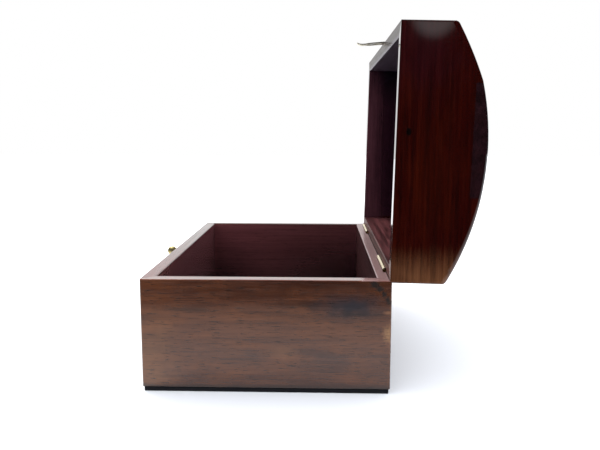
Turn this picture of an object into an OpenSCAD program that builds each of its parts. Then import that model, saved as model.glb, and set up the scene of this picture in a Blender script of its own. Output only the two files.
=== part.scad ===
/* [Case] */
// Outside length of the box, end to end
case_len = 280; // [220:1:360]
// Outside depth of the box, front to back
case_depth = 175; // [150:1:210]
// Height of the wooden base, from the felt up to its rim
base_h = 78.5; // [55:0.5:120]
// Thickness of the front, back and end boards
wall = 9.6; // [8.5:0.1:13]
// Thickness of the panel that closes the bottom
floor_t = 5; // [4:0.5:8]
// How far the bottom panel reaches under the boards
floor_lap = 4.6; // [3:0.1:6]
// Play left round the bottom panel in its rebate
floor_play = 0.2; // [0.1:0.05:0.5]
// Rounding of the upright corners
corner_r = 1.2; // [0.5:0.1:3]
// Rounding of the rim's outer edges
rim_r = 0.6; // [0.3:0.1:1.5]
// Rounding of the base's lower edges
foot_r = 1.4; // [0.5:0.1:3]
// Chamfer of the rim's inner edges
inner_arris = 0.6; // [0.3:0.1:1.5]

/* [Felt] */
// Thickness of the felt under the base
felt_t = 3.2; // [1:0.1:4]
// How far the felt stays inside the base's outline
felt_inset = 0.8; // [0.5:0.1:6]

/* [Lid] */
// Height of the lid's back face, up to the dome
lid_side_h = 38.4; // [30:0.1:55]
// Rise of the dome above the lid's back face
lid_rise = 23.6; // [14:0.1:32]
// How far the top of the dome lies in front of the lid's middle
dome_shift = 3.2; // [0:0.1:8]
// Radius of the dome's front flank, which is planed to an arc of its own
flank_r = 250; // [190:5:400]
// Angle by which the dome turns down at the arris between its two arcs
flank_turn = 6.3; // [4:0.1:9]
// Distance of that arris in front of the crown board's front joint
arris_past = 2; // [1:0.5:6]
// Rise of the vault inside the lid, above its rails
vault_rise = 19.3; // [12:0.1:26]
// Thickness of the dome's boards at its top
roof_t = 9.4; // [7:0.1:11]
// Thickness of the crown board where it lies over the end boards
crown_t = 11.3; // [8:0.1:14]
// Distance from the lid's middle to the crown board's front edge
crown_front = 48.3; // [30:0.1:50]
// Distance from the lid's middle to the crown board's back edge
crown_back = 27.7; // [15:0.1:50]
// Rounding between the dome and the front and back faces
shoulder_r = 5.5; // [2:0.5:8]
// Rounding along the dome's two ends
end_round_r = 4.5; // [1.5:0.5:7]
// Gap between the two rims when the lid is shut
rim_gap = 0.3; // [0.2:0.05:0.6]
// Angle at which the open lid comes to its stop
open_angle = 91.2; // [90:0.1:92]

/* [Hinges] */
// Length of each butt hinge
hinge_len = 50; // [38:1:64]
// Width of a hinge leaf, from the pin's axis
leaf_w = 14; // [10:0.5:20]
// Thickness of a hinge leaf
leaf_t = 1; // [0.7:0.1:1.2]
// Outside radius of the hinge knuckles
knuckle_r = 1.75; // [1.6:0.05:2.2]
// Radius of the hinge pins
pin_r = 0.85; // [0.7:0.05:0.95]
// Number of knuckles on each hinge
knuckles = 5; // [3:2:7]
// Distance from the box's right end to the middle of its hinge
right_hinge_inset = 59.5; // [42:0.5:75]
// Distance from the box's left end to the middle of its hinge
left_hinge_inset = 42; // [40:0.5:75]
// Length of open notch beside each hinge
notch_spare = 7; // [1:0.5:10]

/* [Screws] */
// Radius of the hinge screws' heads
screw_head_r = 2.1; // [1.8:0.1:2.4]
// Radius of the hinge screws' shanks
screw_r = 1; // [0.7:0.1:1.2]
// Length of the hinge screws
screw_len = 7.5; // [5:0.5:8]
// Distance between neighbouring screws in a leaf
screw_pitch = 17; // [12:0.5:18]
// Width and depth of the screwdriver slots
slot_cut = 0.5; // [0.3:0.05:0.7]

/* [Hasp] */
// Width of the hasp's plate and flap
hasp_w = 15; // [13:0.5:20]
// Width of the flap's middle knuckle
hasp_mid_w = 6; // [5:0.1:8]
// Thickness of the hasp's sheet brass
hasp_t = 0.8; // [0.6:0.1:1]
// Height of the hasp's pin above the lid's rim
hasp_up = 10; // [8:0.5:13]
// Distance of the hasp's pin from the lid's front face
hasp_out = 2; // [1.9:0.1:2.6]
// Outside radius of the hasp's knuckles
hasp_knuckle_r = 1.7; // [1.5:0.05:1.8]
// Radius of the hasp's pin
hasp_pin_r = 0.7; // [0.5:0.05:0.8]
// Height of the fixed plate, from the pin's axis
hasp_plate_h = 13; // [11:0.5:18]
// Length of the flap, from the pin's axis to the start of its lip
flap_len = 26; // [24:0.5:34]
// Bend radius of the flap's finger lip
lip_r = 7; // [5:0.5:12]
// How far the finger lip is bent up, in degrees
lip_bend = 40; // [15:1:60]
// Width of the finger lip
lip_w = 9; // [6:0.5:12]
// Radius of the hasp nails' domed heads
nail_head_r = 1.3; // [1:0.1:1.6]
// Radius of the hasp nails' shanks
nail_r = 0.6; // [0.4:0.05:0.8]
// Length of the hasp nails under their heads
nail_len = 7; // [5:0.5:8]

/* [Stud] */
// Radius of the ball on the catch stud
ball_r = 4.1; // [3:0.1:4.4]
// Distance of the ball's centre from the front face
ball_out = 8.1; // [7:0.1:10]
// Distance of the stud's axis below the base's rim
stud_drop = 6.2; // [5.5:0.1:8]
// Radius of the stud's neck
neck_r = 1.6; // [1.2:0.1:2.2]
// Radius of the collar that seats on the wood
collar_r = 2.8; // [2.2:0.1:3.4]
// Thickness of the collar
collar_t = 0.9; // [0.5:0.1:1.5]
// Radius of the stud's shank in the wood
shank_r = 1.4; // [1:0.1:2]
// Length of the stud's shank in the wood
shank_len = 7; // [5:0.5:8]

/* [Fits] */
// Radial play of the pins in their knuckles
pin_play = 0.05; // [0.02:0.01:0.1]
// Gap between neighbouring knuckles
knuckle_gap = 0.2; // [0.1:0.05:0.4]
// Gap round the knuckles and between moving leaves
swing_gap = 0.3; // [0.2:0.05:0.4]
// Play of the fasteners in their holes
drill_play = 0.05; // [0.02:0.01:0.1]
// Play round the leaves in their mortises
mortise_play = 0.1; // [0.05:0.05:0.3]
// Gap between the flap and the wood it lies against
flap_gap = 0.35; // [0.3:0.05:0.6]
// Play between the ball and the flap's eye
eye_play = 0.5; // [0.4:0.05:0.8]

/* [Hidden] */

$fn = 64;
dome_facets = 180;
// Overshoot of a cut past the face that it opens
over = 2;

inner_len = case_len - 2 * wall;
inner_depth = case_depth - 2 * wall;

// Levels and the lid hinge's axis, which is as deep as a knuckle's radius
rim_z = felt_t + base_h;
lid_z = rim_z + rim_gap;
hinge_y = case_depth / 2 - knuckle_r;
hinge_z = rim_z + rim_gap / 2;
hinge_xs = [case_len / 2 - right_hinge_inset, left_hinge_inset - case_len / 2];
RIGHT = 0;
LEFT = 1;

// The dome's two arcs, each with its centre as [y, z] in the lid's own frame, rim at z = 0
crown_z = lid_side_h + lid_rise;
half_base = case_depth / 2 + dome_shift;
dome_r = (pow(half_base, 2) + pow(lid_rise, 2)) / (2 * lid_rise);
dome_mid = [-dome_shift, crown_z - dome_r];
arris_lean = asin((crown_front + arris_past - dome_shift) / dome_r);
flank_lean = arris_lean + flank_turn;
flank_mid = dome_mid + dome_r * [-sin(arris_lean), cos(arris_lean)]
    - flank_r * [-sin(flank_lean), cos(flank_lean)];

// The vault under the dome, level with the lid's middle
vault_r = (pow(inner_depth / 2, 2) + pow(vault_rise, 2)) / (2 * vault_rise);
vault_z = crown_z - roof_t - vault_r;
rail_h = vault_z + vault_r - vault_rise;
crown_seat_z = crown_z - crown_t;

// Screws sit along the middle of a leaf's flat part
screw_line = (leaf_w + knuckle_r + swing_gap) / 2;
head_cone = screw_head_r - screw_r;

// The hasp's pin in the lid's frame, and how far its flap leans in to the wood
hasp_y = -case_depth / 2 - hasp_out;
flap_face = hasp_knuckle_r - hasp_t;
flap_lean = asin((hasp_out + flap_face - flap_gap) / flap_len);

// The stud as the flap sees it: drop below the hasp's pin, and the eye it needs
stud_z = rim_z - stud_drop;
eye_drop = hasp_up + rim_gap + stud_drop;
eye_reach = ball_out - hasp_out;
eye_mid = sqrt(pow(eye_drop, 2) + pow(eye_reach, 2));
eye_r = ball_r + eye_play;

// ---- Shared outlines ----

// The waste outside a quarter circle that rounds a corner, inward along (dx, dy)
module corner_waste(dx, dy, r) {
    difference() {
        translate([dx, dy] * (r - over) / 2)
            square(r + over, center = true);
        translate([dx, dy] * r)
            circle(r);
    }
}

// A rectangle standing on y = 0, with its own rounding at the top and the foot
module rounded_panel(w, h, top_r, low_r) {
    difference() {
        translate([-w / 2, 0])
            square([w, h]);
        for (side = [-1, 1]) {
            translate([side * w / 2, h])
                corner_waste(-side, -1, top_r);
            translate([side * w / 2, 0])
                corner_waste(-side, 1, low_r);
        }
    }
}

// Extrudes a (y, z) outline along X, centred on x = 0
module along_x(len) {
    rotate([90, 0, 90])
        linear_extrude(len, center = true)
            children();
}

// Extrudes an (x, z) outline along Y, centred on y = 0
module along_y(len) {
    rotate([90, 0, 0])
        linear_extrude(len, center = true)
            children();
}

// The box's plan with its rounded corners, extruded up from z = 0
module plan_block(h) {
    translate([0, -case_depth / 2, 0])
        linear_extrude(h)
            rounded_panel(case_len, case_depth, corner_r, corner_r);
}

// The chamfer round the inside of a rim that lies at z = 0 and faces up
module inner_arris_cut() {
    intersection() {
        along_y(case_depth)
            arris_flare(inner_len);
        along_x(case_len)
            arris_flare(inner_depth);
    }
}

// One section of that chamfer, for an opening of width w
module arris_flare(w) {
    low = w / 2;
    high = w / 2 + 2 * inner_arris;
    polygon([[-low, -inner_arris], [low, -inner_arris], [high, inner_arris], [-high, inner_arris]]);
}

// The bevel along the back of a rim at z = 0 that faces up: the open lid stops on it
module back_bevel_cut() {
    far = case_depth / 2 + over;
    along_x(case_len + 2 * over)
        polygon([[case_depth / 2 - knuckle_r - over, over], [far, -knuckle_r - over], [far, over]]);
}

// Plan of a board along the front or back, mitred at both ends
module long_board_plan(side) {
    outer = side * case_depth / 2;
    inner = side * inner_depth / 2;
    polygon([
        [-case_len / 2, outer], [case_len / 2, outer],
        [inner_len / 2, inner], [-inner_len / 2, inner]
    ]);
}

// Plan of a board across one end, mitred at both ends
module end_board_plan(side) {
    outer = side * case_len / 2;
    inner = side * inner_len / 2;
    polygon([
        [outer, -case_depth / 2], [outer, case_depth / 2],
        [inner, inner_depth / 2], [inner, -inner_depth / 2]
    ]);
}

// ---- Fasteners ----

// A countersunk screw along -Y, its head's face at y = 0; grow widens it for a hole
module screw_body(grow) {
    rotate([90, 0, 0]) {
        cylinder(h = screw_len + grow, r = screw_r + grow);
        cylinder(h = head_cone, r1 = screw_head_r + grow, r2 = screw_r + grow);
        if (grow > 0)
            translate([0, 0, -over])
                cylinder(h = over, r = screw_head_r + grow);
    }
}

// A finished screw, with its screwdriver slot turned by spin
module slotted_screw(spin) {
    difference() {
        screw_body(0);
        rotate([0, spin, 0])
            cube([3 * screw_head_r, 2 * slot_cut, slot_cut], center = true);
    }
}

// A nail along +Y into the wood, its domed head outside y = 0
module nail_body(grow) {
    rotate([-90, 0, 0])
        cylinder(h = nail_len + grow, r = nail_r + grow);
}

module domed_nail() {
    nail_body(0);
    rotate([90, 0, 0])
        intersection() {
            translate([0, 0, -nail_head_r])
                sphere(r = nail_head_r * sqrt(2));
            cylinder(h = nail_head_r, r = nail_head_r);
        }
}

// Places its children at each screw of one leaf; side is -1 on the base, +1 on the lid
module at_leaf_screws(index, side) {
    for (i = [-1, 0, 1])
        translate([hinge_xs[index] + i * screw_pitch, case_depth / 2, hinge_z + side * screw_line])
            children();
}

// ---- Butt hinges, drawn shut: both leaves lie flush in the back ----

function knuckle_pitch() = hinge_len / knuckles;

// One knuckle's barrel, number i of the hinge, with its tangent strip to the leaf
module knuckle(i, side) {
    len = knuckle_pitch() - knuckle_gap;
    translate([(i + 0.5) * knuckle_pitch() - hinge_len / 2, 0, 0]) {
        rotate([0, 90, 0])
            cylinder(h = len, r = knuckle_r, center = true);
        reach = knuckle_r + swing_gap + leaf_t;
        translate([-len / 2, knuckle_r - leaf_t, side > 0 ? 0 : -reach])
            cube([len, leaf_t, reach]);
    }
}

// A leaf about the pin's axis; first is the number of its first knuckle
module hinge_leaf(side, first) {
    start = knuckle_r + swing_gap;
    difference() {
        union() {
            translate([-hinge_len / 2, knuckle_r - leaf_t, side > 0 ? start : -leaf_w])
                cube([hinge_len, leaf_t, leaf_w - start]);
            for (i = [first : 2 : knuckles - 1])
                knuckle(i, side);
        }
        rotate([0, 90, 0])
            cylinder(h = hinge_len + over, r = pin_r + pin_play, center = true);
    }
}

// The leaf of hinge index in its place, drilled for its screws
module placed_leaf(index, side, first) {
    difference() {
        translate([hinge_xs[index], hinge_y, hinge_z])
            hinge_leaf(side, first);
        at_leaf_screws(index, side)
            screw_body(drill_play);
    }
}

// A hinge pin, a little shorter than its barrel and chamfered at both ends
module placed_pin(index) {
    half = hinge_len / 2 - knuckle_gap;
    nose = pin_r / 3;
    translate([hinge_xs[index], hinge_y, hinge_z])
        rotate([0, 90, 0])
            rotate_extrude()
                polygon([
                    [0, -half], [pin_r - nose, -half], [pin_r, nose - half],
                    [pin_r, half - nose], [pin_r - nose, half], [0, half]
                ]);
}

// The room that one hinge takes out of a back board: mortise, knuckle notch and pilot holes
module hinge_room(index, side) {
    room = knuckle_r + swing_gap;
    low = leaf_w + mortise_play;
    translate([hinge_xs[index], hinge_y, hinge_z]) {
        translate([-hinge_len / 2 - mortise_play, knuckle_r - leaf_t, side > 0 ? 0 : -low])
            cube([hinge_len + 2 * mortise_play, leaf_t + over, low]);
        translate([-hinge_len / 2 - swing_gap, -room, side > 0 ? -over : -room])
            cube([hinge_len + 2 * swing_gap + notch_spare, room + knuckle_r + over, room + over]);
    }
    at_leaf_screws(index, side)
        screw_body(drill_play);
}

// ---- Base ----

module base_block() {
    difference() {
        translate([0, 0, felt_t])
            intersection() {
                plan_block(base_h);
                along_x(case_len)
                    rounded_panel(case_depth, base_h, rim_r, foot_r);
                along_y(case_depth)
                    rounded_panel(case_len, base_h, rim_r, foot_r);
            }
        translate([0, 0, rim_z]) {
            inner_arris_cut();
            back_bevel_cut();
        }
        translate([0, 0, felt_t])
            cube([inner_len + 2 * floor_lap, inner_depth + 2 * floor_lap, 2 * floor_t], center = true);
    }
}

module base_board() {
    intersection() {
        base_block();
        linear_extrude(rim_z + over)
            children();
    }
}

module base_front_board() {
    color("#6b3a2a")
        difference() {
            base_board()
                long_board_plan(-1);
            translate([0, -case_depth / 2, stud_z])
                rotate([-90, 0, 0])
                    cylinder(h = shank_len + drill_play, r = shank_r + drill_play);
        }
}

module base_back_board() {
    color("#673828")
        difference() {
            base_board()
                long_board_plan(1);
            for (index = [RIGHT, LEFT])
                hinge_room(index, -1);
        }
}

module base_left_end() {
    color("#70402c")
        base_board()
            end_board_plan(-1);
}

module base_right_end() {
    color("#70402c")
        base_board()
            end_board_plan(1);
}

module base_floor() {
    shrink = 2 * (floor_lap - floor_play);
    color("#5c3325")
        translate([0, 0, felt_t + floor_t / 2])
            cube([inner_len + shrink, inner_depth + shrink, floor_t], center = true);
}

module base_felt() {
    color("#16130f")
        linear_extrude(felt_t)
            square([case_len - 2 * felt_inset, case_depth - 2 * felt_inset], center = true);
}

module catch_stud() {
    color("#c9a24a")
        translate([0, -case_depth / 2, stud_z])
            rotate([90, 0, 0])
                rotate_extrude()
                    stud_profile();
}

// Half section of the stud, its axis on x = 0 and the wood's face at y = 0
module stud_profile() {
    intersection() {
        union() {
            translate([0, ball_out])
                circle(ball_r);
            translate([0, -shank_len])
                square([shank_r, shank_len]);
            square([collar_r, collar_t]);
            square([neck_r, ball_out]);
        }
        translate([0, -shank_len])
            square([ball_r, shank_len + ball_out + ball_r]);
    }
}

module base_leaf(index) {
    color("#c9a24a")
        placed_leaf(index, -1, 0);
}

module right_hinge_base_leaf() {
    base_leaf(RIGHT);
}

module left_hinge_base_leaf() {
    base_leaf(LEFT);
}

module right_hinge_pin() {
    color("#b8923f")
        placed_pin(RIGHT);
}

module left_hinge_pin() {
    color("#b8923f")
        placed_pin(LEFT);
}

module base_hinge_screws() {
    color("#d2ae5a")
        for (index = [RIGHT, LEFT])
            at_leaf_screws(index, -1)
                slotted_screw(35 + 50 * index);
}

// ---- Lid, drawn shut in its own frame, then swung open ----

// Turns its children, drawn shut, about the hinge to the open lid's place
module swung_open() {
    translate([0, hinge_y, hinge_z])
        rotate([-open_angle, 0, 0])
            translate([0, -hinge_y, -hinge_z])
                children();
}

// Lifts the lid's own frame, rim at z = 0, to the shut lid's place
module on_rim() {
    translate([0, 0, lid_z])
        children();
}

// The sector of waste outside the rounding where an arc of the dome meets a side
module shoulder_waste(side, mid, r) {
    y = case_depth / 2 - shoulder_r;
    across = y - side * mid[0];
    z = mid[1] + sqrt(pow(r - shoulder_r, 2) - pow(across, 2));
    lean = atan2(z - mid[1], across);
    reach = 4 * shoulder_r;
    mirror([side > 0 ? 0 : 1, 0])
        translate([y, z])
            difference() {
                polygon([
                    [0, 0], [reach, 0],
                    reach * [1, tan(lean / 2)],
                    reach * [cos(lean), sin(lean)]
                ]);
                circle(shoulder_r);
            }
}

// Section of the lid's outside below the dome, rim at y = 0
module lid_section() {
    difference() {
        rounded_panel(case_depth, 2 * crown_z, rim_r, rim_r);
        shoulder_waste(-1, flank_mid, flank_r);
        shoulder_waste(1, dome_mid, dome_r);
    }
}

// A drum along the lid with rounded ends, about [y, z] = mid
module drum(mid, r) {
    translate([0, mid[0], mid[1]])
        rotate([0, 90, 0])
            rotate_extrude($fn = dome_facets)
                difference() {
                    translate([0, -case_len / 2])
                        square([r, case_len]);
                    for (side = [-1, 1])
                        translate([r, side * case_len / 2])
                            corner_waste(-1, -side, end_round_r);
                }
}

// All that lies under the dome, whose arcs cross at the arris
module under_dome() {
    intersection() {
        drum(dome_mid, dome_r);
        drum(flank_mid, flank_r);
    }
}

module lid_block() {
    difference() {
        intersection() {
            along_x(case_len)
                lid_section();
            along_y(case_depth)
                rounded_panel(case_len, crown_z + over, rim_r, rim_r);
            under_dome();
            plan_block(crown_z + over);
        }
        mirror([0, 0, 1]) {
            inner_arris_cut();
            back_bevel_cut();
        }
    }
}

// The hollow under the vault, between the two end boards
module vault_room(len) {
    translate([0, 0, vault_z])
        rotate([0, 90, 0])
            cylinder(h = len, r = vault_r, center = true, $fn = dome_facets);
}

// Front or back rail: from the rim to where the vault springs
module lid_rail(side) {
    intersection() {
        lid_block();
        linear_extrude(rail_h)
            long_board_plan(side);
    }
}

// The crown board's place: over the end boards it lies in a flat-bottomed notch
module crown_room() {
    translate([-case_len / 2, -crown_front, crown_seat_z])
        cube([case_len, crown_front + crown_back, crown_t + over]);
}

// An arched end board: mitred to the rails, plain above them, notched for the crown
module lid_end(side) {
    difference() {
        intersection() {
            lid_block();
            union() {
                linear_extrude(rail_h)
                    end_board_plan(side);
                translate([side > 0 ? inner_len / 2 : -case_len / 2, -case_depth / 2, rail_h])
                    cube([wall, case_depth, crown_z]);
            }
        }
        crown_room();
    }
}

// A stave of the dome from y = low to y = high, between the end boards
module lid_stave(low, high) {
    difference() {
        intersection() {
            lid_block();
            translate([-inner_len / 2, low, rail_h])
                cube([inner_len, high - low, crown_z]);
        }
        vault_room(case_len);
    }
}

module lid_front_rail() {
    color("#6b3a2a")
        swung_open()
            difference() {
                on_rim()
                    lid_rail(-1);
                at_hasp_nails()
                    nail_body(drill_play);
            }
}

module lid_back_rail() {
    color("#673828")
        swung_open()
            difference() {
                on_rim()
                    lid_rail(1);
                for (index = [RIGHT, LEFT])
                    hinge_room(index, 1);
            }
}

module lid_left_end() {
    color("#5e3124")
        swung_open()
            on_rim()
                lid_end(-1);
}

module lid_right_end() {
    color("#5e3124")
        swung_open()
            on_rim()
                lid_end(1);
}

module lid_crown_board() {
    color("#452019")
        swung_open()
            on_rim() {
                lid_stave(-crown_front, crown_back);
                intersection() {
                    lid_block();
                    crown_room();
                }
            }
}

module lid_front_stave() {
    color("#5e3124")
        swung_open()
            on_rim()
                lid_stave(-case_depth / 2, -crown_front);
}

module lid_back_stave() {
    color("#5e3124")
        swung_open()
            on_rim()
                lid_stave(crown_back, case_depth / 2);
}

module lid_leaf(index) {
    color("#c9a24a")
        swung_open()
            placed_leaf(index, 1, 1);
}

module right_hinge_lid_leaf() {
    lid_leaf(RIGHT);
}

module left_hinge_lid_leaf() {
    lid_leaf(LEFT);
}

module lid_hinge_screws() {
    color("#d2ae5a")
        swung_open()
            for (index = [RIGHT, LEFT])
                at_leaf_screws(index, 1)
                    slotted_screw(-20 + 65 * index);
}

// ---- Hasp on the lid's front ----

// Places its children at the hasp's pin, in the shut lid's place
module at_hasp() {
    translate([0, hasp_y, lid_z + hasp_up])
        children();
}

// Places its children at each nail, on the face of the fixed plate
module at_hasp_nails() {
    nail_in = hasp_w / 2 - 2 * nail_head_r;
    low = hasp_knuckle_r + swing_gap + 2 * nail_head_r;
    high = hasp_plate_h - 2 * nail_head_r;
    at_hasp()
        for (x = [-nail_in, nail_in], z = [low, high])
            translate([x, hasp_out - hasp_t, z])
                children();
}

// The pin hole through all knuckles of the hasp
module hasp_bore() {
    rotate([0, 90, 0])
        cylinder(h = hasp_w + over, r = hasp_pin_r + pin_play, center = true);
}

module hasp_barrel(len) {
    rotate([0, 90, 0])
        cylinder(h = len, r = hasp_knuckle_r, center = true);
}

module hasp_plate() {
    clear = hasp_knuckle_r + swing_gap;
    room = hasp_mid_w + 2 * knuckle_gap;
    color("#c9a24a")
        swung_open()
            difference() {
                at_hasp()
                    difference() {
                        union() {
                            translate([-hasp_w / 2, hasp_out - hasp_t, 0])
                                cube([hasp_w, hasp_t, hasp_plate_h]);
                            hasp_barrel(hasp_w);
                        }
                        translate([-room / 2, -clear, -clear])
                            cube([room, clear + hasp_out + over, 2 * clear]);
                        hasp_bore();
                    }
                at_hasp_nails()
                    nail_body(drill_play);
            }
}

module hasp_pin() {
    color("#b8923f")
        swung_open()
            at_hasp()
                rotate([0, 90, 0])
                    cylinder(h = hasp_w, r = hasp_pin_r, center = true);
}

module hasp_nails() {
    color("#d2ae5a")
        swung_open()
            at_hasp_nails()
                domed_nail();
}

// Side view of the flap: x out from the wood, y along the sheet, its pin at the origin
module flap_side() {
    translate([flap_face, -flap_len])
        square([hasp_t, flap_len]);
    translate([flap_face + hasp_t + lip_r, -flap_len])
        intersection() {
            difference() {
                circle(lip_r + hasp_t);
                circle(lip_r);
            }
            reach = 2 * (lip_r + hasp_t);
            polygon([
                [0, 0], [-reach, 0],
                reach * [-1, -tan(lip_bend / 2)],
                reach * [-cos(lip_bend), -sin(lip_bend)]
            ]);
        }
}

// Front view of the flap's sheet, its pin along y = 0
module flap_front() {
    tip = flap_len + (lip_r + hasp_t) * sin(lip_bend);
    translate([0, -eye_mid])
        circle(hasp_w / 2);
    translate([-hasp_w / 2, -eye_mid])
        square([hasp_w, eye_mid - hasp_knuckle_r - swing_gap]);
    translate([-hasp_mid_w / 2, -eye_mid])
        square([hasp_mid_w, eye_mid]);
    translate([0, lip_w / 2 - tip])
        circle(lip_w / 2);
    translate([-lip_w / 2, lip_w / 2 - tip])
        square([lip_w, tip - eye_mid - lip_w / 2]);
}

// The eye that passes over the ball, centred where the ball swings through the sheet
module flap_eye() {
    translate([0, -flap_face, -eye_mid])
        rotate([90, 0, 0])
            cylinder(h = 4 * hasp_t, r = eye_r, center = true);
}

module hasp_flap() {
    color("#c9a24a")
        swung_open()
            at_hasp()
                rotate([flap_lean, 0, 0])
                    difference() {
                        union() {
                            hasp_barrel(hasp_mid_w);
                            intersection() {
                                rotate([90, 0, -90])
                                    linear_extrude(hasp_w, center = true)
                                        flap_side();
                                rotate([90, 0, 0])
                                    linear_extrude(4 * hasp_w, center = true)
                                        flap_front();
                            }
                        }
                        hasp_bore();
                        flap_eye();
                    }
}

base_front_board();
base_back_board();
base_left_end();
base_right_end();
base_floor();
base_felt();
catch_stud();
right_hinge_base_leaf();
left_hinge_base_leaf();
right_hinge_pin();
left_hinge_pin();
base_hinge_screws();
lid_front_rail();
lid_back_rail();
lid_left_end();
lid_right_end();
lid_crown_board();
lid_front_stave();
lid_back_stave();
right_hinge_lid_leaf();
left_hinge_lid_leaf();
lid_hinge_screws();
hasp_plate();
hasp_pin();
hasp_nails();
hasp_flap();
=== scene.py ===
"""A domed wooden box with its lid open: finishes, felt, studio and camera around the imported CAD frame."""

import logging
import math
from dataclasses import dataclass, field
from enum import Enum

import bpy
from mathutils import Matrix, Vector, noise

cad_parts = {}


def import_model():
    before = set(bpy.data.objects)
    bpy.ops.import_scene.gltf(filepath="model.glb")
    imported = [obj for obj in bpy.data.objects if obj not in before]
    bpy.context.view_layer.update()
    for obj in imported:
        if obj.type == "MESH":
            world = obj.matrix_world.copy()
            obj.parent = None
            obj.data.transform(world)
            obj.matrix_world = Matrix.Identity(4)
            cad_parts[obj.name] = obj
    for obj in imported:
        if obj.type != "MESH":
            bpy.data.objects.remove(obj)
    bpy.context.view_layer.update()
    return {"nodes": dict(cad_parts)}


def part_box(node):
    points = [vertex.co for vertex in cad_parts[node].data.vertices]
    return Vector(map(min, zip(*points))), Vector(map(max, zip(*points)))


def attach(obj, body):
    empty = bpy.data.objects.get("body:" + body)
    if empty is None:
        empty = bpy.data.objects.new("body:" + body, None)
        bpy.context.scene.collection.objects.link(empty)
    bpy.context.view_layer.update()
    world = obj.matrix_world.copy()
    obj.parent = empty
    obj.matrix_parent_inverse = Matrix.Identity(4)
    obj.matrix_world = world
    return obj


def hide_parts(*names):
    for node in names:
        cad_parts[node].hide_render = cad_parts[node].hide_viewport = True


LOG = logging.getLogger("domed_box")
MM = 0.001
METRES_TO_MM = (1000.0, 1000.0, 1000.0)  # patterns are laid out in millimetres
SHARE, COLOUR_A, COLOUR_B, MIXED = 0, 6, 7, 2  # the Mix node's sockets when it mixes colours
STRAIGHT, MIRRORED = 2, 3  # and its two inputs when it mixes numbers
Socket = bpy.types.NodeSocket
Node = bpy.types.Node
Tree = bpy.types.NodeTree
Feed = float | Socket | Node
Pair = tuple[float, float]
Triple = tuple[float, float, float]
Colour = tuple[float, float, float, float]


class Grain(Enum):
    """The direction in which a board's fibres run, as the turn that lays them along the pattern's X."""

    ALONG_LENGTH = (0.0, 0.0, 0.0)
    ALONG_DEPTH = (0.0, 0.0, -math.pi / 2)
    UPRIGHT = (0.0, math.pi / 2, 0.0)


class Form(Enum):
    """The outline of a mark on the wood."""

    BALL = "ball"
    BLOCK = "block"


def linear(code: str) -> Colour:
    """Turns an sRGB hex colour into the linear one that shaders use, by the standard's own curve.

    Args:
        code: Six hex digits.

    Returns:
        Linear red, green and blue, and an alpha of 1.
    """
    values = [int(code[i : i + 2], 16) / 255 for i in (0, 2, 4)]
    red, green, blue = (v / 12.92 if v <= 0.04045 else ((v + 0.055) / 1.055) ** 2.4 for v in values)
    return red, green, blue, 1.0


def add(tree: Tree, kind: str, ins: dict | tuple = (), **settings: object) -> Node:
    """Adds one node with its settings, values and links.

    Args:
        tree: The node tree.
        kind: The node type without its "ShaderNode" prefix.
        ins: What its inputs get, in their order, or by name or number. Each is a value, the socket that feeds
            it, or a node whose first output does. A Map Range node's inputs are the value, the low and high
            it comes from, and the low and high it goes to.
        **settings: The node's own properties.

    Returns:
        The new node.
    """
    node = tree.nodes.new("ShaderNode" + kind)
    for name, value in settings.items():
        setattr(node, name, value)
    given = ins if isinstance(ins, dict) else dict(enumerate(ins))
    for key, value in given.items():
        source = value.outputs[0] if isinstance(value, Node) else value
        if isinstance(source, Socket):
            tree.links.new(source, node.inputs[key])
        else:
            node.inputs[key].default_value = source
    return node


def place_in_mm(tree: Tree) -> Node:
    """Gives the point being shaded in the part's own frame, in millimetres."""
    place = add(tree, "TexCoord").outputs["Object"]
    return add(tree, "Mapping", {"Vector": place, "Scale": METRES_TO_MM})


def blank_material(name: str) -> bpy.types.Material:
    """Makes a material with an empty node tree.

    Args:
        name: What the material is called.

    Returns:
        The material.
    """
    made = bpy.data.materials.new(name)
    made.use_nodes = True
    made.node_tree.nodes.clear()
    return made


@dataclass(frozen=True)
class Mark:
    """A patch on a board, such as a knot, a smudge, a worn spot, the tone of one face, or painted shade,
    light or sheen.

    Sizes and places are in millimetres, in the part's own frame.
    """

    centre: Triple
    radii: Triple
    colour: str
    strength: float
    soft: float = 1.0  # the share of the radius over which it fades
    ragged: float = 0.3
    grit: Triple = (0.12, 0.12, 0.12)  # how fine the raggedness is, per millimetre
    form: Form = Form.BALL
    dull: float = 0.0  # how far it takes the gloss away

    def cover(self, tree: Tree, place: Node) -> Node:
        """Finds how far the mark covers a point.

        Args:
            tree: The material's nodes.
            place: The point in millimetres.

        Returns:
            From 0 to the mark's strength.
        """
        gritty = add(tree, "Mapping", {"Vector": place, "Scale": self.grit})
        rough = add(tree, "TexNoise", {"Vector": gritty, "Scale": 1.0, "Detail": 3.0})
        centred = add(tree, "VectorMath", (place, self.centre), operation="SUBTRACT")
        sized = add(tree, "VectorMath", (centred, self.radii), operation="DIVIDE")
        if self.form is Form.BALL:
            far = add(tree, "VectorMath", (sized,), operation="LENGTH").outputs["Value"]
        else:
            sides = add(tree, "VectorMath", (sized,), operation="ABSOLUTE")
            long, deep, high = add(tree, "SeparateXYZ", (sides,)).outputs
            wide = add(tree, "Math", (long, deep), operation="MAXIMUM")
            far = add(tree, "Math", (wide, high), operation="MAXIMUM")
        ragged = add(tree, "Math", (rough, -0.5), operation="ADD")
        edge = add(tree, "Math", (ragged, 2 * self.ragged, far), operation="MULTIPLY_ADD")
        fade = (edge, 1 - self.soft, 1.0, self.strength, 0.0)
        return add(tree, "MapRange", fade, interpolation_type="SMOOTHSTEP")


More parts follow.
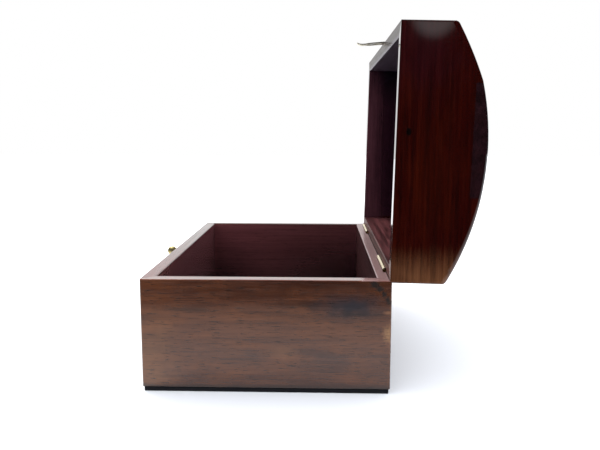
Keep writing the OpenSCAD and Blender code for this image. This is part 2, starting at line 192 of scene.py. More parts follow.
def face_tone(
    centre: Triple, radii: Triple, colour: str, strength: float, soft: float = 0.02, ragged: float = 0.0,
    dull: float = 0.0
) -> Mark:
    """A tone that covers one face of a board up to a clean edge.

    Args:
        centre: The middle of the block in which the face lies.
        radii: Half the block's size.
        colour: The tone.
        strength: How far it covers the wood.
        soft: The share of the block over which it fades.
        ragged: How uneven its edge is.
        dull: How far it takes the gloss away.

    Returns:
        The mark.
    """
    return Mark(centre, radii, colour, strength, soft=soft, ragged=ragged, form=Form.BLOCK, dull=dull)


@dataclass(frozen=True)
class EndMarks:
    """Makes marks on the right-hand end of the box, each placed across and up that end."""

    face_x: float = 140.0
    depth: float = 8.0

    def mark(self, at: Pair, radii: Pair, colour: str, strength: float, **how: object) -> Mark:
        """Makes one mark.

        Args:
            at: Its middle, from front to back and up.
            radii: Half its width and height.
            colour: Its colour.
            strength: How far it covers the wood.
            **how: The mark's other fields.

        Returns:
            The mark.
        """
        return Mark((self.face_x, *at), (self.depth, *radii), colour, strength, **how)


@dataclass(frozen=True)
class Rosewood:
    """Polished rosewood board: planed, sanded and rubbed up with a thin clear lacquer.

    It has a dark reddish brown ground, long streaks along the fibres, short dark pores and a soft gloss that
    turns bright at a low angle.
    """

    name: str
    grain: Grain
    dark: str
    ground: str
    warm: str
    pale: str
    shift: Triple  # where in the pattern the board is cut, in millimetres
    band_mm: float = 7.0
    band_long_mm: float = 150.0
    fine_parts: Pair = (3.0, 4.0)  # a band's length and width over those of the finer streaks in it
    fine_share: float = 0.6
    hair_mm: float = 0.45
    hair_long_mm: float = 22.0
    hair_share: float = 0.16
    hair_relief: float = 0.25
    pore_mm: float = 0.7  # real pores are 0.2 mm wide; drawn wider so that they show
    pore_long_mm: float = 9.0
    pore_depth: float = 0.55
    pore_edge: Pair = (0.60, 0.68)
    glow_mm: float = 9.0
    glow_long_mm: float = 34.0
    glow_edge: Pair = (0.46, 0.68)
    glow_share: float = 0.7
    fibre_detail: float = 0.55
    streak_stops: Triple = (0.40, 0.58, 0.80)  # where the dark, the ground and the pale lie in the pattern
    figure: float = 0.22  # how far the shade swings between early and late wood
    figure_edge: Pair = (0.4, 0.76)
    gloss: float = 0.5
    gloss_roughness: float = 0.18
    roughness_edge: Pair = (0.3, 0.7)
    roughness_swing: Pair = (-0.05, 0.07)
    worn_roughness: float = 0.4
    coat: float = 1.0
    coat_roughness: float = 0.08
    lacquer_ior: float = 1.5
    relief: float = 0.2
    relief_m: float = 0.0002
    marks: tuple[Mark, ...] = ()

    def fibres(self, tree: Tree, at: Node, long_mm: float, across_mm: float, detail: float) -> Node:
        """Noise stretched along the fibres.

        Args:
            tree: The material's nodes.
            at: The place in millimetres, with the fibres along X.
            long_mm: Feature length along the fibres.
            across_mm: Feature width across them.
            detail: Octaves of noise.

        Returns:
            A value around 0.5.
        """
        scale = (1 / long_mm, 1 / across_mm, 1 / across_mm)
        placed = add(tree, "Mapping", {"Vector": at, "Scale": scale})
        ins = {"Vector": placed, "Scale": 1.0, "Detail": detail, "Roughness": self.fibre_detail}
        return add(tree, "TexNoise", ins)

    def streaks(self, tree: Tree, figure: Node, glow: Node) -> Socket:
        """Colours the bare wood.

        Args:
            tree: The material's nodes.
            figure: The pattern of early and late wood.
            glow: Where the wood is warmer.

        Returns:
            The colour.
        """
        ramp = add(tree, "ValToRGB", {"Fac": figure})
        stops = ramp.color_ramp.elements
        dark_at, ground_at, pale_at = self.streak_stops
        stops[0].position, stops[0].color = dark_at, linear(self.dark)
        stops[1].position, stops[1].color = pale_at, linear(self.pale)
        stops.new(ground_at).color = linear(self.ground)
        warmth = add(tree, "MapRange", (glow, *self.glow_edge, 0.0, self.glow_share))
        ins = {SHARE: warmth, COLOUR_A: ramp, COLOUR_B: linear(self.warm)}
        return add(tree, "Mix", ins, data_type="RGBA").outputs[MIXED]

    def marked(self, tree: Tree, place: Node, colour: Socket) -> tuple[Socket, list[Node]]:
        """Lays the marks over the wood, in order.

        Args:
            tree: The material's nodes.
            place: The point in millimetres.
            colour: The bare wood.

        Returns:
            The marked wood, and how far each dull mark takes the gloss away.
        """
        worn = []
        for mark in self.marks:
            cover = mark.cover(tree, place)
            ins = {SHARE: cover, COLOUR_A: colour, COLOUR_B: linear(mark.colour)}
            colour = add(tree, "Mix", ins, data_type="RGBA").outputs[MIXED]
            if mark.dull:
                worn.append(add(tree, "Math", (cover, mark.dull), operation="MULTIPLY"))
        return colour, worn

    def polish(self, tree: Tree, fine: Node, worn: list[Node]) -> tuple[Node, Feed]:
        """Gives the shine of the wood, which is rougher and has less lacquer where it is worn.

        Args:
            tree: The material's nodes.
            fine: The finer streaks.
            worn: How far the gloss is gone, mark by mark.

        Returns:
            The roughness, and the lacquer's weight.
        """
        smoother, rougher = self.roughness_swing
        swing = (self.gloss_roughness + smoother, self.gloss_roughness + rougher)
        rough = add(tree, "MapRange", (fine, *self.roughness_edge, *swing))
        lacquer = self.coat
        for bare in worn:
            rough = add(tree, "Math", (bare, self.worn_roughness, rough), operation="MULTIPLY_ADD")
            kept = add(tree, "Math", (bare, -1.0, 1.0), operation="MULTIPLY_ADD")
            lacquer = add(tree, "Math", (kept, lacquer), operation="MULTIPLY")
        return rough, lacquer

    def material(self) -> bpy.types.Material:
        """Builds the board's material.

        Returns:
            The material.
        """
        made = blank_material(self.name)
        tree = made.node_tree
        place = place_in_mm(tree)
        at = add(tree, "Mapping", {"Vector": place, "Rotation": self.grain.value, "Location": self.shift})
        fine_long, fine_wide = self.fine_parts
        broad = self.fibres(tree, at, self.band_long_mm, self.band_mm, 3.0)
        fine = self.fibres(tree, at, self.band_long_mm / fine_long, self.band_mm / fine_wide, 3.0)
        hair = self.fibres(tree, at, self.hair_long_mm, self.hair_mm, 2.0)
        pores = self.fibres(tree, at, self.pore_long_mm, self.pore_mm, 1.0)
        glow = self.fibres(tree, at, self.glow_long_mm, self.glow_mm, 3.0)
        swing = add(tree, "Math", (fine, self.fine_share, -self.fine_share / 2), operation="MULTIPLY_ADD")
        bands = add(tree, "Math", (broad, swing), operation="ADD")
        figure = add(tree, "Math", (hair, self.hair_share, bands), operation="MULTIPLY_ADD")
        colour, worn = self.marked(tree, place, self.streaks(tree, figure, glow))
        dash = add(tree, "MapRange", (pores, *self.pore_edge, 0.0, self.pore_depth))
        clear = add(tree, "Math", (1.0, dash), operation="SUBTRACT")
        tone = add(tree, "MapRange", (figure, *self.figure_edge, 1 - self.figure, 1 + self.figure))
        shade = add(tree, "Math", (clear, tone), operation="MULTIPLY")
        shaded = add(tree, "VectorMath", {0: colour, "Scale": shade}, operation="SCALE")
        rough, lacquer = self.polish(tree, fine, worn)
        ridges = add(tree, "Math", (hair, self.hair_relief, fine), operation="MULTIPLY_ADD")
        height = add(tree, "Math", (ridges, dash), operation="SUBTRACT")
        shader = add(
            tree,
            "BsdfPrincipled",
            {
                "Base Color": shaded,
                "Roughness": rough,
                "Normal": add(
                    tree, "Bump", {"Height": height, "Strength": self.relief, "Distance": self.relief_m}
                ),
                "IOR": self.lacquer_ior,
                "Specular IOR Level": self.gloss,
                "Coat Weight": lacquer,
                "Coat Roughness": self.coat_roughness,
                "Coat IOR": self.lacquer_ior,
            },
        )
        add(tree, "OutputMaterial", {"Surface": shader})
        return made


@dataclass(frozen=True)
class Brass:
    """Plain rolled, drawn and pressed brass, left to tarnish a little.

    It is yellow, and brownish where hands don't rub it.
    """

    name: str
    bright: str = "d9b365"
    tarnish: str = "8a6a34"
    roughness: float = 0.28
    tarnish_per_mm: float = 0.35
    tarnish_edge: Pair = (0.45, 0.7)
    tarnish_share: float = 0.75
    tarnish_roughness: float = 0.2
    scratch_per_mm: Triple = (0.25, 5.0, 5.0)
    scratch_relief: float = 0.2
    scratch_m: float = 0.00005

    def material(self) -> bpy.types.Material:
        """Builds the metal.

        Returns:
            The material.
        """
        made = blank_material(self.name)
        tree = made.node_tree
        place = place_in_mm(tree)
        cloud = add(tree, "TexNoise", {"Vector": place, "Scale": self.tarnish_per_mm, "Detail": 4.0})
        scratch_at = add(tree, "Mapping", {"Vector": place, "Scale": self.scratch_per_mm})
        scratch = add(tree, "TexNoise", {"Vector": scratch_at, "Scale": 1.0, "Detail": 2.0})
        dull = add(tree, "MapRange", (cloud, *self.tarnish_edge, 0.0, self.tarnish_share))
        ins = {SHARE: dull, COLOUR_A: linear(self.bright), COLOUR_B: linear(self.tarnish)}
        colour = add(tree, "Mix", ins, data_type="RGBA").outputs[MIXED]
        dullest = self.roughness + self.tarnish_roughness
        rough = add(tree, "MapRange", (dull, 0.0, 1.0, self.roughness, dullest))
        relief = {"Height": scratch, "Strength": self.scratch_relief, "Distance": self.scratch_m}
        bump = add(tree, "Bump", relief)
        ins = {"Base Color": colour, "Metallic": 1.0, "Roughness": rough, "Normal": bump}
        shader = add(tree, "BsdfPrincipled", ins)
        add(tree, "OutputMaterial", {"Surface": shader})
        return made


@dataclass(frozen=True)
class Felt:
    """Needled black wool felt: a dull, slightly furry black with paler fibre ends."""

    name: str = "black_wool_felt"
    dark: str = "08080b"
    pale: str = "15151a"
    tufts_per_mm: float = 1.6
    tuft_relief: float = 0.9
    tuft_m: float = 0.0004

    def material(self) -> bpy.types.Material:
        """Builds the cloth.

        Returns:
            The material.
        """
        made = blank_material(self.name)
        tree = made.node_tree
        ins = {"Vector": place_in_mm(tree), "Scale": self.tufts_per_mm, "Detail": 4.0, "Roughness": 0.7}
        tuft = add(tree, "TexNoise", ins)
        ins = {SHARE: tuft, COLOUR_A: linear(self.dark), COLOUR_B: linear(self.pale)}
        colour = add(tree, "Mix", ins, data_type="RGBA").outputs[MIXED]
        bump = add(tree, "Bump", {"Height": tuft, "Strength": self.tuft_relief, "Distance": self.tuft_m})
        shader = add(
            tree,
            "BsdfPrincipled",
            {
                "Base Color": colour,
                "Roughness": 0.95,
                "Normal": bump,
                "IOR": 1.5,
                "Specular IOR Level": 0.2,
                "Sheen Weight": 0.1,
                "Sheen Roughness": 0.5,
            },
        )
        add(tree, "OutputMaterial", {"Surface": shader})
        return made


@dataclass
class EndViewCamera:
    """The camera that looks at the box's right end from a little above."""

    place_mm: Triple = (580.83, 37.07, 184.59)
    down: float = 8.3217
    turned: float = 1.6861
    rolled: float = 0.0875
    lens_mm: float = 39.358
    sensor_mm: float = 36.0
    sees_m: Pair = (0.01, 50.0)

    def build(self) -> bpy.types.Object:
        """Makes the camera and sets it as the scene's.

        Returns:
            The camera.
        """
        data = bpy.data.cameras.new("camera")
        data.sensor_width, data.sensor_fit, data.lens = self.sensor_mm, "HORIZONTAL", self.lens_mm
        data.clip_start, data.clip_end = self.sees_m
        camera = bpy.data.objects.new("camera", data)
        bpy.context.scene.collection.objects.link(camera)
        turn = Matrix.Rotation(math.radians(90 + self.turned), 4, "Z")
        tilt = Matrix.Rotation(math.radians(90 - self.down), 4, "X")
        roll = Matrix.Rotation(math.radians(self.rolled), 4, "Z")
        camera.matrix_world = Matrix.Translation(Vector(self.place_mm) * MM) @ turn @ tilt @ roll
        bpy.context.scene.camera = camera
        return camera


@dataclass
class SoftLamp:
    """One square soft lamp, with its places and sizes in metres."""

    name: str = "back_lamp"
    place: Triple = (-0.6, -0.5, 1.2)
    aim: Triple = (0.0, 0.0, 0.05)
    size: float = 0.5
    watts: float = 9.0
    colour: str = "fff9f0"

    def build(self) -> bpy.types.Object:
        """Hangs the lamp and turns it to what it lights.

        Returns:
            The lamp.
        """
        data = bpy.data.lights.new(self.name, "AREA")
        data.size, data.energy, data.color = self.size, self.watts, linear(self.colour)[:3]
        lamp = bpy.data.objects.new(self.name, data)
        bpy.context.scene.collection.objects.link(lamp)
        lamp.location = self.place
        lamp.rotation_euler = (Vector(self.aim) - Vector(self.place)).to_track_quat("-Z", "Y").to_euler()
        return lamp


@dataclass
class Studio:
    """A white table, a white surround and soft light, in a room that is dark behind the camera.

    The room's parts are seen only as reflections. Each begins and ends at a share of the way straight
    along an axis, from -1 to 1.
    """

    fill: float = 2.0
    fill_colour: str = "f0f4fc"
    fill_lean: Triple = (-0.22, -0.06, 0.0)  # the soft light is stronger from behind and from the left
    backdrop_edge: Pair = (-0.92, -0.55)
    room: float = 0.006
    window: float = 1.1
    window_way: Triple = (0.97319, 0.1628, 0.1628)
    window_edge: Pair = (0.99938, 0.9998)
    ceiling: float = 0.6
    ceiling_edge: Pair = (0.7, 0.95)
    table_low: Triple = (-4.0, -3.0, 0.0)
    table_high: Triple = (0.37, 3.0, 0.0)
    table_paint: str = "f2f2f2"
    # painted glow on the table where it is seen, strongest behind the box
    table_glow: Pair = (0.4, 0.02)  # behind the box, and at its near end
    table_glow_from: Pair = (-0.5, 0.14)
    # painted reflection: the table as the box mirrors it, darker than its paint
    table_painted_reflection: tuple[str, str] = ("cac7c5", "8c8078")  # as the box mirrors it: near, and at its edge
    table_painted_reflection_from: Pair = (0.16, 0.36)
    lamp: SoftLamp = field(default_factory=SoftLamp)

    @staticmethod
    def seen(tree: Tree) -> tuple[Node, Node]:
        """Tells which rays look at a thing rather than light it.

        Args:
            tree: The nodes of a material or the world.

        Returns:
            1 on rays that are seen straight or mirrored, and 1 on mirrored rays only.
        """
        ray = add(tree, "LightPath").outputs
        bounced = (ray["Is Glossy Ray"], ray["Is Transmission Ray"])
        mirrored = add(tree, "Math", bounced, operation="MAXIMUM")
        return add(tree, "Math", (mirrored, ray["Is Camera Ray"]), operation="MAXIMUM"), mirrored

    def mirrored_room(self, tree: Tree, way: Socket) -> Node:
        """Finds how bright the room is each way, as the box mirrors it.

        Args:
            tree: The world's nodes.
            way: The way that a ray goes.

        Returns:
            The brightness.
        """
        parts = add(tree, "SeparateXYZ", (way,)).outputs
        backdrop = (parts["X"], *self.backdrop_edge, 1.0, self.room)
        white = add(tree, "MapRange", backdrop, interpolation_type="SMOOTHSTEP")
        facing = add(tree, "VectorMath", (way, self.window_way), operation="DOT_PRODUCT").outputs["Value"]
        window = add(tree, "MapRange", (facing, *self.window_edge, 0.0, self.window))
        ceiling = add(tree, "MapRange", (parts["Z"], *self.ceiling_edge, 0.0, self.ceiling))
        walls = add(tree, "Math", (white, window), operation="ADD")
        return add(tree, "Math", (walls, ceiling), operation="MAXIMUM")

    def world(self) -> None:
        """Soft even light; seen, it is white behind the box and dark in front, where the room is."""
        world = bpy.data.worlds.new("surround")
        bpy.context.scene.world = world
        world.use_nodes = True
        world.cycles.sampling_method = "NONE"
        tree = world.node_tree
        tree.nodes.clear()
        shown, mirrored = self.seen(tree)
        way = add(tree, "TexCoord").outputs["Generated"]
        room = self.mirrored_room(tree, way)
        strength = add(tree, "Mix", {SHARE: mirrored, STRAIGHT: 1.0, MIRRORED: room})
        picture = add(tree, "Background", {"Color": (1, 1, 1, 1), "Strength": strength})
        lean = add(tree, "VectorMath", (way, self.fill_lean), operation="DOT_PRODUCT").outputs["Value"]
        level = add(tree, "Math", (lean, self.fill, self.fill), operation="MULTIPLY_ADD")
        light = add(tree, "Background", {"Color": linear(self.fill_colour), "Strength": level})
        add(tree, "OutputWorld", {"Surface": add(tree, "MixShader", (shown, light, picture))})

    def laminate(self) -> bpy.types.Material:
        """Builds the table's white face, with a painted glow that grows behind the box in place of the
        backdrop's reflection, and a painted reflection: as the box mirrors it, the table is darker, and
        browner towards its front edge.

        Returns:
            The material.
        """
        made = blank_material("white_table_laminate")
        made.cycles.emission_sampling = "NONE"
        tree = made.node_tree
        shown, mirrored = self.seen(tree)
        along = add(tree, "SeparateXYZ", (add(tree, "TexCoord").outputs["Object"],)).outputs["X"]
        # painted glow in place of the backdrop's reflection in the table
        painted_sheen = add(tree, "MapRange", (along, *self.table_glow_from, *self.table_glow))
        glow = add(tree, "Math", (shown, painted_sheen), operation="MULTIPLY")
        forward = add(tree, "MapRange", (along, *self.table_painted_reflection_from, 0.0, 1.0))
        near, front = (linear(tone) for tone in self.table_painted_reflection)
        ins = {SHARE: forward, COLOUR_A: near, COLOUR_B: front}
        # painted reflection: the table's tone in the box's gloss
        painted_reflection = add(tree, "Mix", ins, data_type="RGBA").outputs[MIXED]
        ins = {SHARE: mirrored, COLOUR_A: linear(self.table_paint), COLOUR_B: painted_reflection}
        paint = add(tree, "BsdfDiffuse", {"Color": add(tree, "Mix", ins, data_type="RGBA").outputs[MIXED]})
        shine = add(tree, "Emission", {"Strength": glow})
        add(tree, "OutputMaterial", {"Surface": add(tree, "AddShader", (paint, shine))})
        return made

    def floor(self) -> bpy.types.Object:
        """Lays the white table top, which ends in front of the box.

        Returns:
            The table top.
        """
        bpy.ops.object.select_all(action="DESELECT")
        bpy.ops.mesh.primitive_plane_add(size=1)
        floor = bpy.context.object
        floor.name = "table_top"
        low, high = Vector(self.table_low), Vector(self.table_high)
        floor.data.transform(Matrix.Translation((low + high) / 2) @ Matrix.Diagonal((*(high - low).xy, 1, 1)))
        floor.data.materials.append(self.laminate())
        return floor

    def build(self) -> None:
        """Sets the whole studio."""
        self.world()
        self.floor()
        self.lamp.build()


@dataclass
class FeltPad:
    """The felt glued under the base: a sheet with soft edges and a slightly uneven cut."""

    node: str = "base_felt"
    round_over: float = 0.7 * MM
    round_segments: int = 3
    round_profile: float = 0.6
    uneven: float = 0.25 * MM
    uneven_every: float = 4 * MM
    cells: tuple[int, int] = (140, 88)
    corner_angle: float = math.radians(60)
    finish: Felt = field(default_factory=Felt)

    def sheet(self, low: Vector, high: Vector) -> bpy.types.Object:
        """Makes the plain sheet and rounds its edges over.

        Args:
            low: The sheet's lowest corner.
            high: Its highest corner.

        Returns:
            The sheet.
        """
        size, middle = high - low, (low + high) / 2
        bpy.ops.object.select_all(action="DESELECT")
        bpy.ops.mesh.primitive_grid_add(x_subdivisions=self.cells[0], y_subdivisions=self.cells[1], size=1)
        pad = bpy.context.object
        pad.name = "felt_pad"
        stretch = Matrix.Diagonal((size.x, size.y, 1, 1))
        pad.data.transform(Matrix.Translation((middle.x, middle.y, low.z)) @ stretch)
        bpy.ops.object.mode_set(mode="EDIT")
        bpy.ops.mesh.select_all(action="SELECT")
        bpy.ops.mesh.extrude_region_move(TRANSFORM_OT_translate={"value": (0, 0, size.z)})
        bpy.ops.mesh.select_all(action="SELECT")
        bpy.ops.mesh.normals_make_consistent(inside=False)
        bpy.ops.mesh.select_all(action="DESELECT")
        bpy.ops.mesh.edges_select_sharp(sharpness=self.corner_angle)
        bpy.ops.mesh.bevel(offset=self.round_over, segments=self.round_segments, profile=self.round_profile)
        bpy.ops.object.mode_set(mode="OBJECT")
        return pad

    def cut_unevenly(self, pad: bpy.types.Object, low: Vector, high: Vector) -> None:
        """Moves the sheet's edges in by a hair, more in some places than in others.

        Args:
            pad: The sheet.
            low: Its lowest corner.
            high: Its highest corner.
        """
        middle = (low + high) / 2
        for vertex in pad.data.vertices:
            for axis in (0, 1):
                depth = min(vertex.co[axis] - low[axis], high[axis] - vertex.co[axis])
                if depth < 2 * self.round_over:
                    step = self.uneven * (0.5 + 0.5 * noise.noise(vertex.co / self.uneven_every))
                    vertex.co[axis] += math.copysign(step, middle[axis] - vertex.co[axis])

    def build(self) -> bpy.types.Object:
        """Models the felt in the place of the CAD's.

        Returns:
            The felt.
        """
        low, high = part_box(self.node)
        pad = self.sheet(low, high)
        self.cut_unevenly(pad, low, high)
        pad.data.shade_smooth()
        pad.data.materials.append(self.finish.material())
        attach(pad, "base")
        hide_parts(self.node)
        LOG.info("laid %s under the base", pad.name)
        return pad


@dataclass
class Dresser:
    """Gives a CAD node its finish."""

    nodes: dict[str, bpy.types.Object]

    def dress(self, name: str, made: bpy.types.Material) -> None:
        """Puts one material on one node.

        Args:
            name: The node.
            made: Its finish.
        """
        node = self.nodes[name]
        node.data.materials.clear()
        node.data.materials.append(made)
        LOG.info("dressed %s in %s", name, made.name)

    def dress_boards(self, boards: dict[str, Rosewood]) -> None:
        """Puts each board's own wood on it.

        Args:
            boards: The wood of each node.
        """
        for name, wood in boards.items():
            self.dress(name, wood.material())


@dataclass
class BaseBoards:
    """The four mitred boards and the bottom panel."""

    dresser: Dresser
    end: EndMarks = EndMarks()
    fray: Triple = (0.5, 0.5, 0.5)
    knot: str = "120a09"
    knots: tuple[tuple[Pair, Pair], ...] = (  # the middle and radii of each, down a slanting line
        ((75.6, 79.6), (4.4, 3.6)),
        ((79.3, 75.9), (3.6, 2.6)),
        ((82.2, 72.3), (2.6, 3.4)),
        ((84.7, 68.1), (2.6, 3.6)),
        ((87.4, 66.0), (3.4, 2.4)),
    )

    def painted_light_and_smudges(self) -> list[Mark]:
        """Lists the near end's marks: painted shade towards its top, painted light low at its front, streaks
        and smudges, and painted shade at its upper back.

        Returns:
            The marks, in the order in which they are laid.
        """
        mark = self.end.mark
        return [
            # painted shade: darker towards the top of the end
            mark((30.0, 86.0), (130.0, 40.0), "2e140b", 0.7, form=Form.BLOCK),
            # painted light: paler low at the front
            mark((-86.0, 22.0), (30.0, 44.0), "6a4426", 0.55, form=Form.BLOCK),
            mark((12.0, 30.0), (17.0, 7.0), "6e4528", 0.5, grit=(0.1, 0.06, 0.3)),
            mark((-10.0, 28.0), (12.0, 6.0), "2a1c1c", 0.5),
            mark((46.0, 26.0), (20.0, 5.0), "2c1e1f", 0.5),
            mark((-55.0, 60.0), (34.0, 2.5), "23120c", 0.6),
            mark((30.0, 65.0), (26.0, 3.5), "23120e", 0.5),
            # painted shade: a dark bluish patch at the upper back, duller
            mark((60.5, 62.8), (33.0, 13.0), "191822", 0.95, dull=0.45),
            mark((64.0, 57.5), (20.0, 2.2), "15131a", 0.5, dull=0.3),
        ]

    def knots_wear_and_painted_shade(self) -> list[Mark]:
        """Lists the chain of knots at the near end's back corner, the worn wood below them, and painted shade
        along the bottom edge.

        Returns:
            The marks, in the order in which they are laid.
        """
        mark, fray = self.end.mark, self.fray
        knotty = {"soft": 0.8, "ragged": 0.8, "grit": fray, "dull": 0.6}
        return [
            *(mark(at, radii, self.knot, 0.85, **knotty) for at, radii in self.knots),
            mark((88.6, 70.2), (1.8, 5.0), "0c0a12", 0.8, soft=0.9, ragged=0.5, grit=fray, dull=0.5),
            mark((85.9, 44.0), (6.0, 9.0), "8a6440", 0.75, ragged=0.5, grit=fray),
            mark((85.2, 59.0), (6.0, 2.2), "7a5236", 0.6, ragged=0.5, grit=fray),
            mark((89.0, 36.0), (4.0, 42.0), "6a4227", 0.45, form=Form.BLOCK),
            # painted shade: a dark band along the bottom edge
            mark((0.0, 0.0), (300.0, 9.0), "120b0b", 0.95, soft=0.8, ragged=0.1, form=Form.BLOCK),
        ]

    def near_end(self) -> tuple[Mark, ...]:
        """Puts the near end's marks together, its top edge last.

        Returns:
            All its marks.
        """
        top = face_tone((140.0, 0.0, 86.0), (12.0, 95.0, 4.9), "703e32", 0.8, soft=0.04)
        # painted sheen: a pale pink tone over the back part of the top edge, with less gloss
        corner = face_tone(
            (140.0, 89.0, 86.0), (12.0, 23.0, 4.9), "8e6a66", 0.85, soft=0.08, ragged=0.12, dull=0.4
        )
        return (*self.painted_light_and_smudges(), *self.knots_wear_and_painted_shade(), top, corner)

    def build(self) -> None:
        """Dresses each board in wood of its own."""
        long, deep = Grain.ALONG_LENGTH, Grain.ALONG_DEPTH
        base = {"dark": "412317", "ground": "482819", "warm": "593016", "pale": "4d2c1b", "figure": 0.14}
        rim = face_tone((0.0, 0.0, 86.0), (150.0, 95.0, 4.9), "4a261d", 0.8, soft=0.04)
        far_end = (
            face_tone((-120.0, 0.0, 40.0), (11.2, 90.0, 41.3), "65363a", 0.9),
            # painted shade inside: darker low towards the back
            Mark((-130.0, 80.0, 5.0), (12.0, 210.0, 125.0), "10050a", 1.0, ragged=0.0),
            # painted shade inside: darker low towards the front
            Mark((-130.0, -74.0, 14.0), (12.0, 74.0, 62.0), "12060a", 0.75, ragged=0.1),
            rim,
        )
        front = (
            face_tone((0.0, -72.0, 40.0), (132.0, 6.6, 41.3), "70464a", 0.9),
            rim,
            Mark((150.0, -83.0, 82.0), (190.0, 40.0, 14.0), "70423e", 0.9, ragged=0.2, dull=0.3),
        )
        back = (
            face_tone((0.0, 72.0, 40.0), (132.0, 6.6, 41.3), "48262a", 0.9),
            # painted sheen: a pale pink tone over the top edge
            face_tone((0.0, 0.0, 86.0), (150.0, 95.0, 4.9), "866664", 0.9, soft=0.04),
            # painted shadow: a black, dull line along the back top edge, in the gap under the lid
            face_tone((0.0, 86.6, 81.0), (160.0, 1.3, 3.0), "090304", 1.0, soft=0.3, dull=1.0),
        )
        self.dresser.dress_boards(
            {
                "base_right_end": Rosewood(
                    "rosewood_right_end", deep, shift=(31, 7, 3), pore_depth=0.65, band_mm=5.0,
                    band_long_mm=70.0, coat=0.9, marks=self.near_end(), **base
                ),
                "base_left_end": Rosewood(
                    "rosewood_left_end", deep, shift=(-80, 17, 43), pore_depth=0.25, coat=0.6, marks=far_end,
                    **base
                ),
                "base_front_board": Rosewood(
                    "rosewood_front_board", long, shift=(12, 57, -9), coat=0.6, marks=front, **base
                ),
                "base_back_board": Rosewood(
                    "rosewood_back_board", long, shift=(77, -27, 19), coat=0.25, gloss_roughness=0.36,
                    marks=back, **base
                ),
                "base_floor": Rosewood(
                    "rosewood_bottom_panel", long, shift=(5, 5, 55), band_mm=11.0, dark="2e1719",
                    ground="3d2020", warm="47241e", pale="4b2a28"
                ),
            }
        )


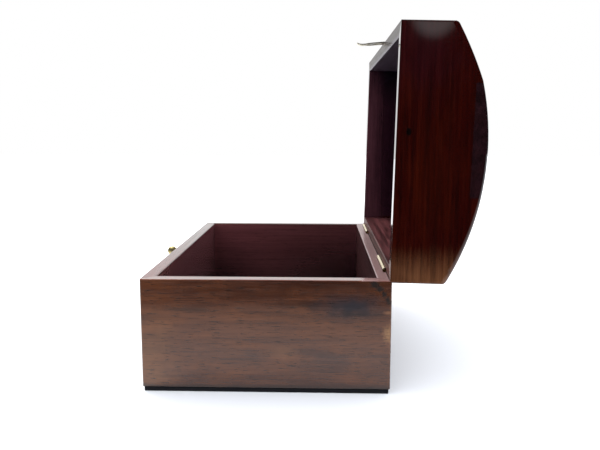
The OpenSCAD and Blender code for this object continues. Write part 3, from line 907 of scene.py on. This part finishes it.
@dataclass
class LidBoards:
    """The lid's rails, arched ends, staves and crown board."""

    dresser: Dresser
    end: EndMarks = EndMarks()

    def near_end(self) -> tuple[Mark, ...]:
        """Lists the warmer patch in the middle, the painted shade at the top, the paler foot and the small
        dark spot.

        Returns:
            The near end's marks.
        """
        mark = self.end.mark
        return (
            mark((112.0, 150.0), (22.0, 55.0), "330c01", 0.2, grit=(0.1, 0.3, 0.02)),
            # painted shade: darker over the top
            mark((105.0, 238.0), (40.0, 48.0), "20060b", 0.6),
            mark((115.0, 77.0), (60.0, 31.0), "573722", 0.9, grit=(0.1, 0.5, 0.03), form=Form.BLOCK),
            mark((96.0, 183.0), (2.2, 3.2), "080101", 1.0, soft=0.6, dull=0.8),
        )

    def build(self) -> None:
        """Dresses each board in wood of its own."""
        long, up = Grain.ALONG_LENGTH, Grain.UPRIGHT
        glossy = {"gloss": 0.05, "coat_roughness": 0.04}
        lid = {
            "dark": "1b0302", "ground": "1e0201", "warm": "260501", "pale": "220401", "band_mm": 2.6,
            "band_long_mm": 80.0, "pore_depth": 0.2, "figure": 0.24, **glossy
        }
        back_lid = {**lid, "figure": 0.5, "band_mm": 4.0}
        rail = {"coat": 0.25, "gloss_roughness": 0.36}
        far_end = (
            face_tone((-120.0, 115.0, 170.0), (11.2, 60.0, 80.0), "200d17", 0.9),
            # painted light inside: a paler band towards the open side
            face_tone((-130.0, 80.0, 140.0), (12.0, 32.0, 160.0), "512e35", 0.95, soft=0.9, ragged=0.1),
            # painted shadow inside: a blue-black patch at the top, under the front rail
            Mark((-130.0, 113.0, 244.0), (12.0, 24.0, 44.0), "03040e", 0.95, ragged=0.0),
        )
        # painted sheen: a bluish grey tone on the rail's inner face
        front = (face_tone((0.0, 110.0, 238.0), (132.0, 30.0, 9.3), "453b47", 0.9),)
        back = (
            # painted light: a much paler tone on the rail's inner face
            face_tone((0.0, 110.0, 96.0), (132.0, 30.0, 7.0), "62393a", 0.8),
            face_tone((0.0, 82.0, 87.0), (150.0, 4.6, 9.0), "54322c", 0.9, soft=0.04, dull=0.6),
            # painted shadow: a black, dull line along the lower back edge, in the gap over the base
            face_tone((0.0, 86.5, 80.6), (160.0, 4.0, 2.0), "090304", 1.0, soft=0.3, dull=1.0),
        )
        # Inside, the vault is rubbed down to a satin finish: a drum along the lid for the staves, and a
        # block under the crown board
        vault = Mark(
            (0.0, -26.6, 169.3), (5000.0, 171.0, 171.0), "290f0e", 0.9, soft=0.0175, ragged=0.0, dull=1.0
        )
        vault_top = face_tone((0.0, 100.0, 170.0), (130.5, 41.0, 60.0), "290f0e", 0.9, dull=1.0)
        self.dresser.dress_boards(
            {
                "lid_right_end": Rosewood(
                    "rosewood_lid_right_end", up, shift=(3, 71, 13), marks=self.near_end(), **lid
                ),
                "lid_left_end": Rosewood(
                    "rosewood_lid_left_end", up, shift=(33, -41, 23), marks=far_end, **lid
                ),
                "lid_front_rail": Rosewood(
                    "rosewood_lid_front_rail", long, shift=(9, 31, 83), marks=front, **rail, **lid
                ),
                "lid_back_rail": Rosewood(
                    "rosewood_lid_back_rail", long, shift=(-9, 61, -43), marks=back, **rail, **back_lid
                ),
                "lid_front_stave": Rosewood(
                    "rosewood_front_stave", long, shift=(49, 11, 3), marks=(vault,), **lid
                ),
                "lid_back_stave": Rosewood(
                    "rosewood_back_stave", long, shift=(-49, 91, 33), marks=(vault,), **lid
                ),
                "lid_crown_board": Rosewood(
                    "dark_rosewood_crown", long, shift=(19, 1, -63), dark="120708", ground="16080b",
                    warm="1a090b", pale="1b0b0e", pore_depth=0.1, figure=0.2, marks=(vault_top,), **glossy
                ),
            }
        )


@dataclass
class Fittings:
    """Hinges, hasp and catch stud, all of brass."""

    dresser: Dresser

    def build(self) -> None:
        """Dresses the metal."""
        groups = (
            (
                Brass("rolled_brass_hinges", "f3e4bd", "d8c08e", 0.16),
                tuple(f"{side}_hinge_{half}_leaf" for half in ("base", "lid") for side in ("right", "left")),
            ),
            (Brass("drawn_brass_pins"), ("right_hinge_pin", "left_hinge_pin", "hasp_pin")),
            (Brass("turned_brass_screws"), ("base_hinge_screws", "lid_hinge_screws", "hasp_nails")),
            (Brass("pressed_brass_hasp", "e8e4d0", "c8c4aa", 0.42), ("hasp_plate", "hasp_flap")),
            (Brass("turned_brass_stud", "e2d49c", "a4965c", 0.5), ("catch_stud",)),
        )
        for finish, nodes in groups:
            made = finish.material()
            for node in nodes:
                self.dresser.dress(node, made)


def main() -> None:
    """Builds the camera, the studio and the box."""
    logging.basicConfig(level=logging.INFO, format="%(message)s")
    bpy.context.scene.view_settings.view_transform = "Standard"
    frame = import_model()
    EndViewCamera().build()
    Studio().build()
    dresser = Dresser(frame["nodes"])
    BaseBoards(dresser).build()
    LidBoards(dresser).build()
    Fittings(dresser).build()
    FeltPad().build()


if __name__ == "__main__":
    main()
